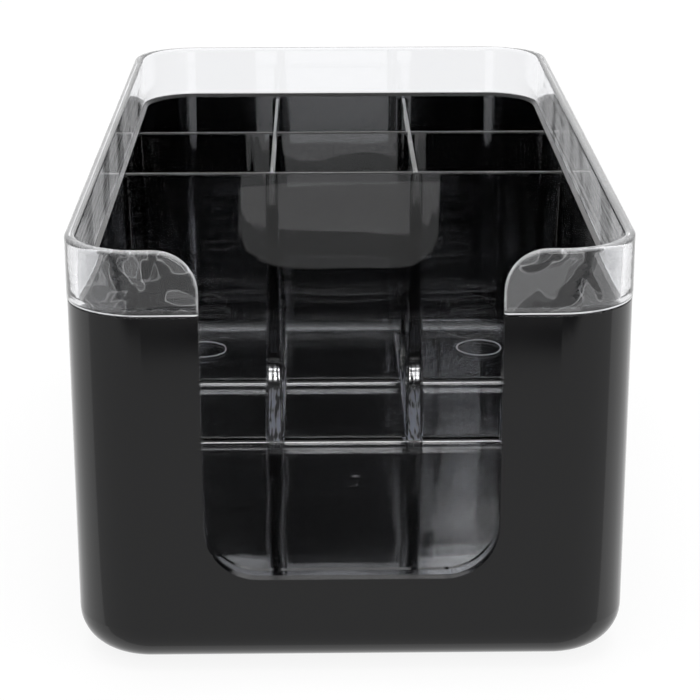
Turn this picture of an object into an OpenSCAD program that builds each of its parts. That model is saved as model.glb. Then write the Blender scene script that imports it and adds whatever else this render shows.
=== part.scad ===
// Countertop napkin and bar-supply caddy: a black outer box, a clear lift-out tray and four rubber feet.
// Millimetres. +Z is up, the front with the U-shaped finger notch faces -Y, and the table is Z = 0.

/* [Overall] */
// Width of the box at its rim
box_w = 146; // [140:1:160]
// Length of the box at its rim, front to back
box_l = 270; // [250:1:300]
// Height of the box, from its underside to its rim
box_h = 96.9; // [90:0.1:110]
// Height of the clear collar above the rim
collar_h = 16.7; // [12:0.1:22]
// Plan radius of the box's upright corners
corner_r = 20.2; // [18:0.2:28]
// Radius of the round between the walls and the underside
bottom_r = 10.6; // [9:0.2:14]

/* [Walls] */
// Slope of the box's outer faces, width lost per side for each unit of height
box_draft = 0.002; // [0.001:0.001:0.02]
// Thickness of the box's wall at its rim
box_wall = 1.9; // [1.6:0.1:2.4]
// Slope of the box's inner faces
box_core_draft = 0.014; // [0.006:0.002:0.02]
// Thickness of the box's floor
box_floor = 2.8; // [2.4:0.1:3.5]
// Slope of the tray's walls
tray_draft = 0.033; // [0.02:0.001:0.04]
// Thickness of the tray's lower wall
tray_wall = 1.5; // [1.3:0.1:2]
// Thickness of the tray's floor
tray_floor = 1.7; // [1.5:0.1:2.2]
// Air gap between the tray and the box, at the rim
gap = 0.3; // [0.3:0.05:0.6]
// Height of the rings that hold the tray's floor off the box's floor
standoff_h = 1.5; // [1:0.1:2.5]
// How far the collar's outer face stands proud of the box
collar_proud = 0.2; // [0.1:0.1:0.8]
// Thickness of the collar
collar_wall = 2.9; // [2.6:0.1:3.4]
// Radius of the rounded edges of the collar's lip
lip_r = 1.2; // [0.8:0.1:1.3]

/* [Notch] */
// Width of the finger notch at the box's rim
notch_w = 76.8; // [70:0.2:90]
// How much narrower each side of the notch is for each unit of depth
notch_draft = 0.005; // [0:0.001:0.02]
// Radius of the notch's lower corners
notch_r = 14; // [10:1:18]
// Height of the notch's bottom edge above the box's underside
notch_z = 25.2; // [18:0.2:40]
// Radius of the collar's top corners beside the notch
collar_corner_r = 11; // [6:0.5:12]

/* [Dividers] */
// Distance from the box's front to the middle of the front divider
front_divider_y = 151.8; // [140:0.2:160]
// Distance from the box's front to the middle of the rear divider
rear_divider_y = 208.6; // [200:0.2:215]
// Distance from the middle of the tray to each lengthwise divider
side_divider_x = 22.9; // [20:0.1:28]
// Thickness of the dividers at the top
divider_top = 1.8; // [1.5:0.1:2.4]
// Thickness of the dividers at the floor
divider_foot = 4; // [2.6:0.1:4.4]
// How far the dividers' top edges are below the box's rim
divider_drop = 0.8; // [0:0.1:4]
// Radius of the fillets at the dividers' feet
fillet_r = 1.2; // [0.8:0.1:1.6]

/* [Feet] */
// Radius of the pockets for the round feet
foot_r = 8; // [7:0.1:9]
// Outer radius of the tray's stand-off rings, which are above the feet
standoff_r = 8.5; // [7:0.1:9]
// Distance from the feet's centres to the box's sides
foot_inset_x = 22.5; // [20:0.1:26]
// Distance from the feet's centres to the box's front and back
foot_inset_y = 28.2; // [24:0.1:32]
// How far the rubber feet stand out below the box
foot_h = 1.0; // [0.6:0.1:1.4]

/* [Hidden] */
$fn = 96;
tiny = 0.01;
half_w = box_w / 2;
half_l = box_l / 2;
axis_x = half_w - corner_r;            // plan place of the corners' upright axes
axis_y = half_l - corner_r;
rim_z = foot_h + box_h;
top_z = rim_z + gap + collar_h;

// Inner face of the box, measured from a corner's axis
cavity_top = corner_r - box_wall;
cavity_floor_z = foot_h + box_floor;
cavity_r = bottom_r - box_floor;

// The tray below the rim
tray_out_top = cavity_top - gap;
tray_in_top = tray_out_top - tray_wall;
tray_base_z = cavity_floor_z + standoff_h;
tray_floor_z = tray_base_z + tray_floor;
tray_out_r = 7;
tray_in_r = 5.4;

// The collar
collar_base_z = rim_z + gap;
collar_out = corner_r + collar_proud;
collar_in = collar_out - collar_wall;
ledge_z = rim_z - divider_drop;        // where the collar's thicker wall steps in to the lower wall

// The dividers
divider_top_z = rim_z - divider_drop;
front_y = front_divider_y - half_l;
rear_y = rear_divider_y - half_l;
divider_chamfer = 0.45;
root_depth = 0.3;                      // how far joined features reach into the wall or floor
trim_w = 20;

// The notch
notch_bottom_z = foot_h + notch_z;
clear_notch_inset = 0.15;              // the tray's notch is a little smaller than the box's
clear_notch_rise = 0.6;
cheek_x = notch_w / 2 - clear_notch_inset + collar_corner_r;
cut_clear = 3;
cut_depth = 14;

// The feet, their pockets and the tray's stand-off rings
pocket_depth = 1.2;
foot_xy = [half_w - foot_inset_x, half_l - foot_inset_y];
foot_rubber_r = foot_r - 0.1;
foot_round = 0.5;
standoff_wall = 0.9;
standoff_clear = 0.02;

// Small details
chamfer = 0.4;                         // on the box's outer rim edge
gate_r = 1.9;                          // mould gate mark near the middle of the tray's floor
gate_h = 0.35;
gate_xy = [3, -15];
witness_r = 0.3;                       // fine raised line on the floor above each stand-off ring

// ---------------------------------------------------------------- outlines

// Half outline of a filled cup with sloping sides: u is measured from a corner's axis, v is height.
// The side passes through [u_top, v_top] and the lower corner is a true arc of radius r.
module cup_outline(u_top, v_top, v_base, slope, r) {
    n = sqrt(1 + slope * slope);
    u_arc = u_top - slope * (v_top - v_base - r) - r * n;
    tangent = [u_arc + r / n, v_base + r - r * slope / n];
    polygon([[0, v_base], [u_arc, v_base], tangent, [u_top, v_top], [0, v_top]]);
    intersection() {
        translate([u_arc, v_base + r]) circle(r);
        translate([u_arc, v_base]) square([2 * r, r]);
    }
}

// Section of the black box's wall and floor
module box_section() {
    difference() {
        cup_outline(corner_r, rim_z, foot_h, box_draft, bottom_r);
        cup_outline(cavity_top, rim_z + tiny, cavity_floor_z, box_core_draft, cavity_r);
        polygon([[corner_r - chamfer, rim_z + tiny], [corner_r + tiny, rim_z - chamfer],
                 [corner_r + tiny, rim_z + tiny]]);
    }
}

// Bar as thick as the collar, from u = 0 to a rounded end at u = length
module lip_outline(length) {
    square([length - lip_r, collar_wall]);
    translate([0, lip_r]) square([length, collar_wall - 2 * lip_r]);
    for (v = [lip_r, collar_wall - lip_r]) translate([length - lip_r, v]) circle(lip_r);
}

// Section of the clear tray's wall, floor and collar
module tray_section() {
    difference() {
        union() {
            cup_outline(tray_out_top, rim_z, tray_base_z, tray_draft, tray_out_r);
            translate([0, rim_z - tiny]) square([tray_out_top, collar_base_z - rim_z + tiny]);
            translate([0, collar_base_z]) square([collar_out, tiny]);
        }
        cup_outline(tray_in_top, ledge_z, tray_floor_z, tray_draft, tray_in_r);
        polygon([[-1, ledge_z - tiny], [tray_in_top, ledge_z - tiny], [tray_in_top, ledge_z],
                 [collar_in, ledge_z + collar_in - tray_in_top], [collar_in, collar_base_z + 1],
                 [-1, collar_base_z + 1]]);
    }
    translate([collar_out, collar_base_z]) rotate(90) lip_outline(collar_h);
}

// ---------------------------------------------------------------- sweeping a section round the plan

// Sweeps a half section round the rounded rectangle, with straight runs between quarter turns
module sweep_round_plan() {
    for (corner = [[1, 1, 0], [-1, 1, 90], [-1, -1, 180], [1, -1, 270]])
        translate([corner[0] * axis_x, corner[1] * axis_y, 0])
            rotate([0, 0, corner[2]]) rotate_extrude(angle = 90) children();
    for (side = [[axis_x, 0, 0, 2 * axis_y], [0, axis_y, 90, 2 * axis_x], [-axis_x, 0, 180, 2 * axis_y],
                 [0, -axis_y, 270, 2 * axis_x]])
        translate([side[0], side[1], 0]) rotate([0, 0, side[2]]) rotate([90, 0, 0])
            translate([0, 0, -side[3] / 2]) linear_extrude(side[3]) children();
}

module floor_slab(z, h) {
    translate([-axis_x, -axis_y, z]) cube([2 * axis_x, 2 * axis_y, h]);
}

// ---------------------------------------------------------------- cutters

// Extrudes an outline, drawn as seen from the front, through the front wall only
module through_front() {
    translate([0, -half_l - cut_clear, 0]) rotate([90, 0, 0]) translate([0, 0, -cut_depth])
        linear_extrude(cut_depth) children();
}

// U-shaped notch: inset narrows it on each side, and rise lifts its bottom edge
module notch_outline(inset, rise) {
    half = notch_w / 2 - inset;
    bottom = notch_bottom_z + rise;
    low_half = half - notch_draft * (rim_z - bottom - notch_r);
    polygon([[-low_half, bottom + notch_r], [low_half, bottom + notch_r], [half, rim_z], [half, top_z + 1],
             [-half, top_z + 1], [-half, rim_z]]);
    translate([notch_r - low_half, bottom]) square([2 * (low_half - notch_r), notch_r + tiny]);
    for (side = [-1, 1]) translate([side * (low_half - notch_r), bottom + notch_r]) circle(notch_r);
}

// Clears the collar as far as its cheeks, the two pieces of it that turn down beside the notch
module cheek_outline() {
    translate([-cheek_x, collar_base_z]) square([2 * cheek_x, collar_h + 1]);
}

// ---------------------------------------------------------------- the collar's cheeks

// The lip carried round a quarter turn and down to the rim, so that its edge stays rounded at the notch
module cheeks() {
    for (side = [0, 1]) mirror([side, 0, 0]) translate([cheek_x, -half_l - collar_proud, 0]) {
        translate([0, 0, top_z - collar_corner_r]) rotate([-90, 0, 0]) rotate([0, 0, 180])
            rotate_extrude(angle = 90) lip_outline(collar_corner_r);
        translate([0, 0, collar_base_z]) linear_extrude(collar_h - collar_corner_r)
            mirror([1, 0]) lip_outline(collar_corner_r);
    }
}

// ---------------------------------------------------------------- dividers

// Upright plate seen on end: tapered, chamfered at the top and filleted into the floor
module divider_profile() {
    slope = (divider_foot - divider_top) / 2 / (divider_top_z - tray_floor_z);
    root = divider_foot / 2 + slope * root_depth;
    shoulder = divider_top / 2 + slope * divider_chamfer;
    crest = divider_top / 2 - divider_chamfer;
    polygon([[-root, tray_floor_z - root_depth], [root, tray_floor_z - root_depth],
             [shoulder, divider_top_z - divider_chamfer], [crest, divider_top_z], [-crest, divider_top_z],
             [-shoulder, divider_top_z - divider_chamfer]]);
    for (side = [0, 1]) mirror([side, 0]) difference() {
        translate([divider_foot / 2 - root_depth, tray_floor_z - root_depth])
            square([fillet_r + root_depth, fillet_r + root_depth]);
        translate([divider_foot / 2 + fillet_r, tray_floor_z + fillet_r - tiny]) circle(fillet_r);
    }
}

// Outline of the tray's inside between two opposite walls, grown a little into the walls and floor
module inside_outline(axis) {
    for (side = [0, 1]) mirror([side, 0]) translate([axis - tiny, 0])
        cup_outline(tray_in_top + root_depth, divider_top_z, tray_floor_z - root_depth, tray_draft, tray_in_r);
    translate([-axis, tray_floor_z - root_depth])
        square([2 * axis, divider_top_z - tray_floor_z + root_depth]);
}

module cross_divider(y) {
    intersection() {
        translate([-half_w, y, 0]) rotate([90, 0, 90]) linear_extrude(box_w) divider_profile();
        translate([0, y + trim_w / 2, 0]) rotate([90, 0, 0]) linear_extrude(trim_w) inside_outline(axis_x);
    }
}

module lengthwise_divider(x) {
    intersection() {
        translate([x, half_l, 0]) rotate([90, 0, 0]) linear_extrude(half_l - front_y) divider_profile();
        translate([x - trim_w / 2, 0, 0]) rotate([90, 0, 90]) linear_extrude(trim_w) inside_outline(axis_y);
    }
}

// Fillet that stands in a corner between two upright faces. The faces meet at [x, y] on the floor and lean
// by lean for each unit of height, and the fillet fills the corner on the side that quadrant points to.
module upright_fillet(x, y, lean, quadrant) {
    translate([x, y, tray_floor_z - root_depth]) rotate([-atan(lean[1]), atan(lean[0]), 0])
        linear_extrude(divider_top_z - divider_chamfer - tray_floor_z)
            mirror([quadrant[0] < 0 ? 1 : 0, 0]) mirror([0, quadrant[1] < 0 ? 1 : 0]) difference() {
                translate([-root_depth, -root_depth]) square(fillet_r + root_depth - tiny);
                translate([fillet_r - tiny, fillet_r - tiny]) circle(fillet_r);
            }
}

module divider_fillets() {
    foot = divider_foot / 2;
    face_lean = (divider_foot - divider_top) / 2 / (divider_top_z - tray_floor_z);
    wall_x = axis_x + tray_in_top - tray_draft * (ledge_z - tray_floor_z);
    wall_y = wall_x - axis_x + axis_y;
    for (side = [0, 1]) mirror([side, 0, 0]) {
        for (y = [front_y, rear_y], q = [-1, 1])
            upright_fillet(wall_x, y + q * foot, [tray_draft, -q * face_lean], [-1, q]);
        for (q = [-1, 1]) {
            x = side_divider_x + q * foot;
            lean_x = -q * face_lean;
            upright_fillet(x, front_y + foot, [lean_x, -face_lean], [q, 1]);
            upright_fillet(x, rear_y - foot, [lean_x, face_lean], [q, -1]);
            upright_fillet(x, rear_y + foot, [lean_x, -face_lean], [q, 1]);
            upright_fillet(x, wall_y, [lean_x, tray_draft], [q, -1]);
        }
    }
}

// Places a child above or below each of the four corners of the base
module at_feet() {
    for (x = [-1, 1], y = [-1, 1]) translate([x * foot_xy[0], y * foot_xy[1], 0]) children();
}

// ---------------------------------------------------------------- sub-parts

module outer_shell() {
    color("#1f1f21") difference() {
        union() {
            sweep_round_plan() box_section();
            floor_slab(foot_h, box_floor);
        }
        through_front() notch_outline(0, 0);
        at_feet() translate([0, 0, foot_h - 1]) cylinder(h = pocket_depth + 1, r = foot_r);
    }
}

module clear_insert() {
    color("#e8f0f2", 0.35) union() {
        difference() {
            sweep_round_plan() tray_section();
            through_front() notch_outline(clear_notch_inset, clear_notch_rise);
            through_front() cheek_outline();
        }
        cheeks();
        floor_slab(tray_base_z, tray_floor);
        for (y = [front_y, rear_y]) cross_divider(y);
        for (x = [-side_divider_x, side_divider_x]) lengthwise_divider(x);
        divider_fillets();
        at_feet() {
            standoff_ring();
            witness_line();
        }
        gate_mark();
    }
}

// Low ring under the tray's floor, with a half-round foot that stands on the box's floor
module standoff_ring() {
    ring_h = standoff_h - standoff_clear;
    half_wall = standoff_wall / 2;
    translate([0, 0, tray_base_z - ring_h]) rotate_extrude() translate([standoff_r - half_wall, 0]) {
        translate([-half_wall, half_wall]) square([standoff_wall, ring_h + root_depth - half_wall]);
        translate([0, half_wall]) circle(half_wall);
    }
}

// Raised line that the mould's ejector sleeve leaves on the tray's floor
module witness_line() {
    translate([0, 0, tray_floor_z]) rotate_extrude()
        translate([standoff_r - standoff_wall / 2, 0]) circle(witness_r);
}

// Low round button with a rounded edge
module gate_mark() {
    translate([gate_xy[0], gate_xy[1], tray_floor_z - root_depth]) rotate_extrude() {
        square([gate_r - gate_h, root_depth + gate_h]);
        square([gate_r, root_depth]);
        translate([gate_r - gate_h, root_depth]) intersection() {
            circle(gate_h);
            square(gate_h);
        }
    }
}

// Rubber disc with a rounded tread edge, pressed into its pocket
module foot(x, y) {
    color("#2b2b2b") translate([x * foot_xy[0], y * foot_xy[1], 0]) rotate_extrude() {
        square([foot_rubber_r - foot_round, foot_h + pocket_depth]);
        translate([0, foot_round]) square([foot_rubber_r, foot_h + pocket_depth - foot_round]);
        translate([foot_rubber_r - foot_round, foot_round]) circle(foot_round);
    }
}

module foot_front_left() { foot(-1, -1); }
module foot_front_right() { foot(1, -1); }
module foot_rear_left() { foot(-1, 1); }
module foot_rear_right() { foot(1, 1); }

outer_shell();
clear_insert();
foot_front_left();
foot_front_right();
foot_rear_left();
foot_rear_right();
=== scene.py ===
"""Countertop napkin caddy: looks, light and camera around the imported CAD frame.

The CAD nodes keep their shapes. This script gives them their materials and sets a white studio around them.
Everything is in metres, +Z up, with the object's notched front towards -Y.
"""

import math

import bpy
from mathutils import Matrix, Vector


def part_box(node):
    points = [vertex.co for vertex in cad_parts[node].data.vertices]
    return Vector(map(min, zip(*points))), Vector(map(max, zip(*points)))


IMAGE_PX = 700
SENSOR_MM = 36.0
WHITE = (1, 1, 1, 1)
BLACK = (0, 0, 0, 1)

# The camera, measured from the middle of the object's front, at table height
CAMERA_X = -0.0079
CAMERA_BACK = 0.5201
CAMERA_UP = 0.2648
CAMERA_PITCH = 17.33
CAMERA_YAW = 0.83
CAMERA_ROLL = -0.07
CAMERA_FOCAL_PX = 2186.4
CAMERA_CENTRE_Y_PX = 299.0
CAMERA_CLIP = 0.01

# The room that polished surfaces mirror, as pairs of depth and brightness. Depth runs from 0, straight in
# front of the object, to 1, behind it. The ceiling fades in by height, which runs from 0, straight down, to 1,
# straight up.
ROOM_BY_DEPTH = ((0.0, 0.06), (0.2, 0.1), (0.45, 0.85), (0.6, 0.9))
CEILING = 1.0
CEILING_FROM, CEILING_TO = 0.74, 0.92
DAYLIGHT = 1.0

# The floor, and the strips in front of it that only reflections meet: near edge, far edge and brightness
FLOOR_HALF = 4.0
FLOOR_ALBEDO = (0.12, 0.12, 0.12, 1)
FLOOR_GLOW = 0.87
STRIP_HALF_WIDTH = 0.45
STRIP_LIFT = 0.0005
STRIPS = {
    "near_strip": (0.0, 0.257, 0.66),
    "dark_strip": (0.257, 0.295, 0.0),
    "bright_strip": (0.297, 0.46, 0.5),
    "dark_room": (0.46, 3.5, 0.1),
}

# The lights: place, target, size and watts
OVERHEAD = ((0, 0.15, 1.2), (0, 0, 0), (1.3, 1.1), 8)
RIGHT_SOFTBOX = ((0.29, -0.74, 0.32), (0, 0, 0.1), (0.42, 0.4), 1.4)

# The tray's collar: how soft its lower edge is in the masks, how far back from the box's front its two cheeks
# reach, and how far from the tray's middle their edges at the notch reach
COLLAR_EDGE = 0.002
CHEEK_FROM, CHEEK_TO = 0.004, 0.03
NOTCH_EDGE_X = 0.0475
NOTCH_EDGE_SOFT = 0.0005

# The tray's lengthwise dividers: how far they are from its middle, where they start, and the half width, end
# and fades of the rough strip under each, which carries a painted highlight
DIVIDER_X = 0.0229
FRONT_DIVIDER_Y = 0.0168
HIGHLIGHT_STRIP_HALF_WIDTH = 0.0019
HIGHLIGHT_STRIP_SIDE_FADE = 0.0003
HIGHLIGHT_STRIP_START_FADE = 0.002
HIGHLIGHT_STRIP_END_Y = 0.11
HIGHLIGHT_STRIP_END_FADE = 0.02

# The tray's floor: the height of its stand-off rings, its thickness, and the fine raised line above each ring,
# which carries a painted glint
STANDOFF_H = 0.0015
TRAY_FLOOR = 0.0017
WITNESS_R = 0.00805
WITNESS_GLINT_HALF_WIDTH = 0.0003
WITNESS_GLINT_SOFT = 0.0001

# The clear plastic's own tint, and the painted highlight tint and the roughness of the rough strips under the
# dividers
CLEAR_TINT = (0.915, 0.92, 0.935, 1)
HIGHLIGHT_STRIP_TINT = (0.72, 0.78, 1.0, 1)
HIGHLIGHT_STRIP_ROUGHNESS = 0.8

# The heights of the waves and grain in the surfaces
DRAW_LINE_H = 0.00003
LEVEL_LINE_H = 0.000035
TRAY_WAVE_H = 0.0004
SWIRL_H = 0.0006
SHELL_WAVE_H = 0.00012
SHELL_GRAIN_H = 0.0000015
RUBBER_GRAIN_H = 0.00006

# How much of the light each kind of haze in the clear plastic scatters, from 0 to 1. The dust is real dust;
# the cheek cloud is partly haze and partly painted light, and the caustic lines, lip, notch edge and highlight
# strips are painted highlights
CHEEK_PAINTED_LIGHT_HAZE = 0.055
PAINTED_CAUSTIC_LINES = 0.18
LIP_PAINTED_HIGHLIGHT = 0.2
NOTCH_EDGE_PAINTED_HIGHLIGHT = 0.3
DUST_HAZE = 0.3
HIGHLIGHT_STRIP_HAZE_LEAST, HIGHLIGHT_STRIP_HAZE_MOST = 0.15, 0.7

# A Mix node's colour sockets, which share their names with its number sockets
MIX_COLOUR_A, MIX_COLOUR_B, MIX_COLOUR_OUT = 6, 7, 2


# ---------------------------------------------------------------- node helpers


class NodeTree:
    """A node tree, with short ways to add and join nodes."""

    def __init__(self, owner):
        owner.use_nodes = True
        self.nodes = owner.node_tree.nodes
        self.links = owner.node_tree.links

    def link(self, source, target):
        self.links.new(source, target)

    def math(self, operation, a, b=0.0, c=0.0, clamp=False):
        node = self.nodes.new("ShaderNodeMath")
        node.operation = operation
        node.use_clamp = clamp
        for socket, value in zip(node.inputs, (a, b, c)):
            if isinstance(value, (int, float)):
                socket.default_value = value
            else:
                self.link(value, socket)
        return node.outputs[0]

    def total(self, *terms):
        result = terms[0]
        for term in terms[1:]:
            result = self.math("ADD", result, term)
        return result

    def product(self, *factors):
        result = factors[0]
        for factor in factors[1:]:
            result = self.math("MULTIPLY", result, factor)
        return result

    def size_of(self, value):
        return self.math("ABSOLUTE", value)


class Shader(NodeTree):
    """A material's nodes. Its coordinates are the object's own, so a look stays with a piece that moves."""

    def __init__(self, name):
        self.material = bpy.data.materials.new(name)
        super().__init__(self.material)
        self.bsdf = self.nodes["Principled BSDF"]
        self.place = self.nodes.new("ShaderNodeTexCoord")

    def set(self, **values):
        for key, value in values.items():
            self.bsdf.inputs[key.replace("_", " ")].default_value = value

    def drive(self, source, socket):
        """Lets a node set one of the shader's sockets."""
        self.link(source, self.bsdf.inputs[socket])

    def stretched(self, x, y, z):
        """The surface point with each axis scaled."""
        node = self.nodes.new("ShaderNodeVectorMath")
        node.operation = "MULTIPLY"
        node.inputs[1].default_value = (x, y, z)
        self.link(self.place.outputs["Object"], node.inputs[0])
        return node.outputs[0]

    def noise(self, scale, detail=2.0, vector=None, distortion=0.0):
        node = self.nodes.new("ShaderNodeTexNoise")
        node.inputs["Scale"].default_value = scale
        node.inputs["Detail"].default_value = detail
        node.inputs["Distortion"].default_value = distortion
        self.link(vector or self.place.outputs["Object"], node.inputs["Vector"])
        return node.outputs["Fac"]

    def dust(self, scale, size, share, strength):
        """Sparse round specks: scale sets how many there are, size their radius, share how many show."""
        cells = self.nodes.new("ShaderNodeTexVoronoi")
        cells.inputs["Scale"].default_value = scale
        self.link(self.place.outputs["Object"], cells.inputs["Vector"])
        pick = self.nodes.new("ShaderNodeSeparateColor")
        self.link(cells.outputs["Color"], pick.inputs[0])
        shown = self.math("LESS_THAN", pick.outputs[0], share)
        near = self.ranged(cells.outputs["Distance"], 0.5 * size, size, strength, 0.0)
        return self.product(near, shown)

    def tint(self, amount, plain, tinted):
        """The plain colour where amount is 0, and the tinted one where it is 1."""
        node = self.nodes.new("ShaderNodeMix")
        node.data_type = "RGBA"
        self.link(amount, node.inputs["Factor"])
        node.inputs[MIX_COLOUR_A].default_value = plain
        node.inputs[MIX_COLOUR_B].default_value = tinted
        return node.outputs[MIX_COLOUR_OUT]

    def ranged(self, value, low, high, to_low, to_high):
        """A smooth step: low and below give to_low, high and above give to_high."""
        node = self.nodes.new("ShaderNodeMapRange")
        node.interpolation_type = "SMOOTHSTEP"
        ends = {"From Min": low, "From Max": high, "To Min": to_low, "To Max": to_high}
        for socket, number in ends.items():
            node.inputs[socket].default_value = number
        self.link(value, node.inputs["Value"])
        return node.outputs["Result"]

    def axis(self, name, source="Object"):
        node = self.nodes.new("ShaderNodeSeparateXYZ")
        self.link(self.place.outputs[source], node.inputs[0])
        return node.outputs[name]

    def off(self, axis, centre):
        """How far the surface point is from centre along an axis, with both sides of the object alike."""
        return self.size_of(self.math("SUBTRACT", self.size_of(self.axis(axis)), centre))

    def bump(self, height, distance, under=None):
        """Bumps on top of the normal from under, with distance the height of a step from 0 to 1."""
        node = self.nodes.new("ShaderNodeBump")
        node.inputs["Distance"].default_value = distance
        node.inputs["Strength"].default_value = 1.0
        self.link(height, node.inputs["Height"])
        if under:
            self.link(under, node.inputs["Normal"])
        return node.outputs["Normal"]


# ---------------------------------------------------------------- the clear plastic


def moulding_waves(s, above_rim, cheeks):
    """Draw lines down the walls, level lines round the collar, slow waves, and a swirl in the cheeks."""
    below_rim = s.math("SUBTRACT", 1.0, above_rim)
    facing_up = s.size_of(s.axis("Z", "Normal"))
    upright = s.product(s.math("SUBTRACT", 1.0, facing_up), below_rim)
    draw_lines = s.noise(260.0, 1.0, s.stretched(1.0, 1.0, 0.02))
    level_lines = s.noise(420.0, 1.0, s.stretched(0.01, 0.01, 1.0))
    slow_waves = s.noise(20.0, 1.0)
    swirl = s.noise(42.0, 0.5, distortion=0.4)
    normal = s.bump(s.product(draw_lines, upright), DRAW_LINE_H)
    normal = s.bump(s.product(level_lines, above_rim), LEVEL_LINE_H, under=normal)
    normal = s.bump(slow_waves, TRAY_WAVE_H, under=normal)
    return s.bump(s.product(swirl, cheeks), SWIRL_H, under=normal)


def cheek_haze_and_painted_light(s, cheeks):
    """A faint cloud in the cheeks, partly real haze and partly painted light for light carried in the collar,
    with painted caustic lines through it as thin lighter veins.
    """
    cloud = s.noise(68.0, 1.5, distortion=1.4)
    # The cloud is part haze and part painted light; the veins are painted caustic lines
    painted_light_haze = s.ranged(cloud, 0.46, 0.55, 0.0, CHEEK_PAINTED_LIGHT_HAZE)
    from_caustic_line = s.size_of(s.math("SUBTRACT", cloud, 0.5))
    painted_caustics = s.ranged(from_caustic_line, 0.002, 0.01, PAINTED_CAUSTIC_LINES, 0.0)
    return s.product(s.total(painted_light_haze, painted_caustics), cheeks)


def painted_highlight_strips(s, base_z):
    """A streaky rough strip on the underside below each lengthwise divider, hazed and tinted to paint a
    lavender highlight there.
    """
    narrow = s.ranged(s.off("X", DIVIDER_X), HIGHLIGHT_STRIP_HALF_WIDTH, HIGHLIGHT_STRIP_HALF_WIDTH + HIGHLIGHT_STRIP_SIDE_FADE, 1.0, 0.0)
    underside = s.ranged(s.axis("Z"), base_z + 0.0002, base_z + 0.0006, 1.0, 0.0)
    begun = s.ranged(s.axis("Y"), FRONT_DIVIDER_Y, FRONT_DIVIDER_Y + HIGHLIGHT_STRIP_START_FADE, 0.0, 1.0)
    ended = s.ranged(s.axis("Y"), HIGHLIGHT_STRIP_END_Y - HIGHLIGHT_STRIP_END_FADE, HIGHLIGHT_STRIP_END_Y, 1.0, 0.0)
    grain = s.noise(900.0, 1.0, s.stretched(1.0, 0.06, 1.0))
    streaky_highlight = s.ranged(grain, 0.35, 0.6, HIGHLIGHT_STRIP_HAZE_LEAST, HIGHLIGHT_STRIP_HAZE_MOST)
    return s.product(narrow, underside, begun, ended, streaky_highlight)


def painted_witness_glints(s, floor_z, foot):
    """The raised line on the floor above each stand-off ring, round the four feet's centres, frosted to paint
    a bright glint along it.
    """
    square_x = s.math("POWER", s.off("X", foot.x), 2.0)
    square_y = s.math("POWER", s.off("Y", foot.y), 2.0)
    from_foot = s.math("SQRT", s.total(square_x, square_y))
    off_line = s.size_of(s.math("SUBTRACT", from_foot, WITNESS_R))
    on_line = s.ranged(off_line, WITNESS_GLINT_HALF_WIDTH, WITNESS_GLINT_HALF_WIDTH + WITNESS_GLINT_SOFT, 1.0, 0.0)
    on_floor = s.ranged(s.axis("Z"), floor_z + 0.00002, floor_z + 0.00008, 0.0, 1.0)
    low_down = s.ranged(s.axis("Z"), floor_z + 0.0005, floor_z + 0.001, 1.0, 0.0)
    return s.product(on_line, on_floor, low_down)


def painted_lip_highlight(s, above_rim, cheeks):
    """A painted highlight, made as a haze, on the collar's upward faces and on the side faces of its two edges
    at the notch.
    """
    # Painted highlight: upward faces above the rim, and side faces at the notch edges in the cheeks, scatter
    # more light
    painted_top_highlight = s.product(s.ranged(s.axis("Z", "Normal"), 0.2, 0.9, 0.0, LIP_PAINTED_HIGHLIGHT), above_rim)
    painted_side_highlight = s.ranged(s.size_of(s.axis("X", "Normal")), 0.35, 0.85, 0.0, NOTCH_EDGE_PAINTED_HIGHLIGHT)
    from_middle = s.size_of(s.axis("X"))
    at_notch = s.ranged(from_middle, NOTCH_EDGE_X, NOTCH_EDGE_X + NOTCH_EDGE_SOFT, 1.0, 0.0)
    return s.math("MAXIMUM", painted_top_highlight, s.product(painted_side_highlight, at_notch, cheeks))


def clear_plastic(rim_z, front_y, base_z, foot):
    """Polished clear plastic, with base_z the height of the tray's underside and foot a foot's centre."""
    s = Shader("clear_plastic")
    s.set(IOR=1.5, Transmission_Weight=1.0)
    above_rim = s.ranged(s.axis("Z"), rim_z, rim_z + COLLAR_EDGE, 0.0, 1.0)
    near_front = s.ranged(s.axis("Y"), front_y + CHEEK_FROM, front_y + CHEEK_TO, 1.0, 0.0)
    cheeks = s.product(above_rim, near_front)
    s.drive(moulding_waves(s, above_rim, cheeks), "Normal")

    # Painted highlight: the hazed, rough strip under each lengthwise divider
    highlight_strip = painted_highlight_strips(s, base_z)
    # Painted glints: the frosted band on each raised witness line
    frosted_highlights = s.total(highlight_strip, painted_witness_glints(s, base_z + TRAY_FLOOR, foot))
    dust = s.dust(420.0, 0.07, 0.35, DUST_HAZE)
    # Real dust and painted light together: the cheek cloud, caustic lines, lip and notch-edge highlights,
    # highlight strips and glint lines
    dust_and_painted_light = s.total(cheek_haze_and_painted_light(s, cheeks), frosted_highlights, dust, painted_lip_highlight(s, above_rim, cheeks))
    # The painted highlight strips are tinted lavender
    s.drive(s.tint(highlight_strip, CLEAR_TINT, HIGHLIGHT_STRIP_TINT), "Base Color")
    s.drive(s.math("SUBTRACT", 1.0, dust_and_painted_light, clamp=True), "Transmission Weight")

    gloss = s.ranged(s.noise(30.0, 4.0), 0.3, 0.7, 0.008, 0.03)
    s.drive(s.total(gloss, s.product(frosted_highlights, HIGHLIGHT_STRIP_ROUGHNESS)), "Roughness")
    return s.material


# ---------------------------------------------------------------- the other materials


def black_plastic():
    """Polished black plastic with a slight unevenness in its gloss and a very fine grain."""
    s = Shader("black_plastic")
    s.set(Base_Color=(0.0022, 0.0022, 0.0026, 1), IOR=1.48)
    s.drive(s.ranged(s.noise(22.0, 3.0), 0.3, 0.7, 0.09, 0.13), "Roughness")
    slow_waves = s.noise(14.0, 1.0)
    grain = s.noise(2600.0)
    normal = s.bump(slow_waves, SHELL_WAVE_H)
    s.drive(s.bump(grain, SHELL_GRAIN_H, under=normal), "Normal")
    return s.material


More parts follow.
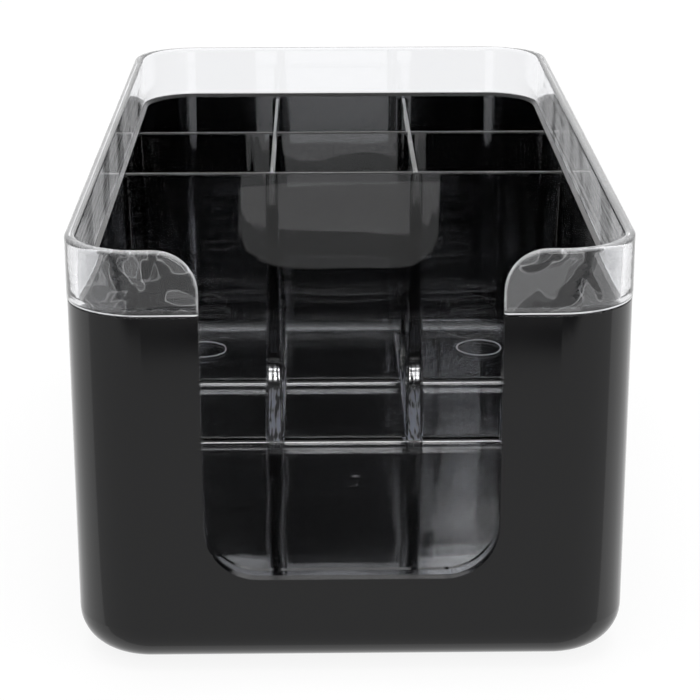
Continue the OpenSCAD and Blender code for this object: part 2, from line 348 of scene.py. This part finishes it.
def foot_rubber():
    """Matt black rubber with a fine grain."""
    s = Shader("foot_rubber")
    s.set(Base_Color=(0.02, 0.02, 0.02, 1), Roughness=0.75, IOR=1.5)
    s.drive(s.bump(s.noise(1500.0, 4.0), RUBBER_GRAIN_H), "Normal")
    return s.material


def glowing_sheet(name, albedo, glow):
    """A matt sheet without gloss that gives off white light."""
    s = Shader(name)
    s.set(Base_Color=albedo, Roughness=0.8, Specular_IOR_Level=0.0)
    s.set(Emission_Color=WHITE, Emission_Strength=glow)
    return s.material


# ---------------------------------------------------------------- the studio


def make_camera(front_y):
    data = bpy.data.cameras.new("camera")
    data.sensor_width = SENSOR_MM
    data.lens = CAMERA_FOCAL_PX / IMAGE_PX * SENSOR_MM
    data.shift_y = (CAMERA_CENTRE_Y_PX - IMAGE_PX / 2) / IMAGE_PX
    data.clip_start = CAMERA_CLIP
    camera = bpy.data.objects.new("camera", data)
    camera.location = (CAMERA_X, front_y - CAMERA_BACK, CAMERA_UP)
    turn = Matrix.Rotation(math.radians(-CAMERA_YAW), 4, "Z")
    tilt = Matrix.Rotation(math.radians(90 - CAMERA_PITCH), 4, "X")
    roll = Matrix.Rotation(math.radians(CAMERA_ROLL), 4, "Z")
    camera.rotation_euler = (turn @ tilt @ roll).to_euler()
    bpy.context.scene.collection.objects.link(camera)
    bpy.context.scene.camera = camera


class World(NodeTree):
    """The studio around the stage, as brightness by direction."""

    def __init__(self):
        world = bpy.data.worlds.new("studio")
        super().__init__(world)
        bpy.context.scene.world = world
        self.axes = self.nodes.new("ShaderNodeSeparateXYZ")
        where = self.nodes.new("ShaderNodeTexCoord")
        self.link(where.outputs["Generated"], self.axes.inputs[0])

    def from_0_to_1(self, axis):
        """A direction's part along an axis, brought from -1..1 to 0..1."""
        return self.math("MULTIPLY_ADD", self.axes.outputs[axis], 0.5, 0.5)

    def ramp(self, source, stops):
        """Brightness by eased steps through pairs of place and value."""
        node = self.nodes.new("ShaderNodeValToRGB")
        node.color_ramp.interpolation = "EASE"
        while len(node.color_ramp.elements) < len(stops):
            node.color_ramp.elements.new(0.5)
        for element, (at, value) in zip(node.color_ramp.elements, stops):
            element.position = at
            element.color = (value, value, value, 1)
        self.link(source, node.inputs["Fac"])
        return node.outputs["Color"]

    def mix(self, share, a, b):
        """a where share is 0, b where it is 1."""
        rest = self.math("SUBTRACT", 1.0, share)
        return self.math("MULTIPLY_ADD", b, share, self.product(a, rest))


def make_world():
    """Shiny surfaces meet a room that is dark in front; the eye and the floor see plain white daylight."""
    w = World()
    ceiling_share = w.ramp(w.from_0_to_1("Z"), ((CEILING_FROM, 0.0), (CEILING_TO, 1.0)))
    room = w.mix(ceiling_share, w.ramp(w.from_0_to_1("Y"), ROOM_BY_DEPTH), CEILING)
    mirrored = w.nodes.new("ShaderNodeLightPath").outputs["Is Glossy Ray"]
    background = w.nodes["Background"].inputs
    background["Color"].default_value = WHITE
    w.link(w.mix(mirrored, DAYLIGHT, room), background["Strength"])


def ground_sheet(name, x, y, z, material):
    """A level rectangle, with x and y its two ends along each axis."""
    mesh = bpy.data.meshes.new(name)
    corners = [(x[0], y[0], z), (x[1], y[0], z), (x[1], y[1], z), (x[0], y[1], z)]
    mesh.from_pydata(corners, [], [(0, 1, 2, 3)])
    mesh.materials.append(material)
    sheet = bpy.data.objects.new(name, mesh)
    bpy.context.scene.collection.objects.link(sheet)
    return sheet


def make_floor(front_y):
    """A white floor that glows as a light table does, and strips in front that only mirrors meet."""
    whole = (-FLOOR_HALF, FLOOR_HALF)
    ground_sheet("floor", whole, whole, 0, glowing_sheet("studio_floor", FLOOR_ALBEDO, FLOOR_GLOW))
    width = (-STRIP_HALF_WIDTH, STRIP_HALF_WIDTH)
    for name, (near, far, glow) in STRIPS.items():
        length = (front_y - far, front_y - near)
        strip = ground_sheet(name, width, length, STRIP_LIFT, glowing_sheet(name, BLACK, glow))
        strip.visible_camera = False
        strip.visible_diffuse = False
        strip.visible_transmission = False
        strip.visible_shadow = False


def area_light(name, place, target, size, watts):
    data = bpy.data.lights.new(name, "AREA")
    data.shape = "RECTANGLE"
    data.size, data.size_y = size
    data.energy = watts
    light = bpy.data.objects.new(name, data)
    light.location = place
    light.rotation_euler = (Vector(target) - Vector(place)).to_track_quat("-Z", "Y").to_euler()
    bpy.context.scene.collection.objects.link(light)
    return light


# ---------------------------------------------------------------- the scene

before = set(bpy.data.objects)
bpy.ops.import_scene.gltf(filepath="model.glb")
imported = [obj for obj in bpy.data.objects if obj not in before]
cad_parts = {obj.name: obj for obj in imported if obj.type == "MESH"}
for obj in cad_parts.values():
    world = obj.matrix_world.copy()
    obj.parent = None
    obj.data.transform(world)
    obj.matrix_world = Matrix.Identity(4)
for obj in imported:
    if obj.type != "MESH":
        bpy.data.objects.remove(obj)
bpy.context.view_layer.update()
shell_low, shell_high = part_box("outer_shell")
tray_low, tray_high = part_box("clear_insert")
foot_low, foot_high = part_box("foot_rear_right")
foot_centre = (foot_low + foot_high) / 2

make_camera(shell_low.y)
make_world()
make_floor(shell_low.y)
overhead = area_light("overhead", *OVERHEAD)
overhead.visible_glossy = False
area_light("right_softbox", *RIGHT_SOFTBOX)

looks = {
    "outer_shell": black_plastic(),
    "clear_insert": clear_plastic(shell_high.z, shell_low.y, tray_low.z + STANDOFF_H, foot_centre),
}
rubber = foot_rubber()
for name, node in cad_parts.items():
    node.data.materials.clear()
    node.data.materials.append(looks.get(name, rubber))

scene = bpy.context.scene
scene.view_settings.view_transform = "Standard"
scene.cycles.max_bounces = 32
scene.cycles.transmission_bounces = 28
scene.cycles.glossy_bounces = 8
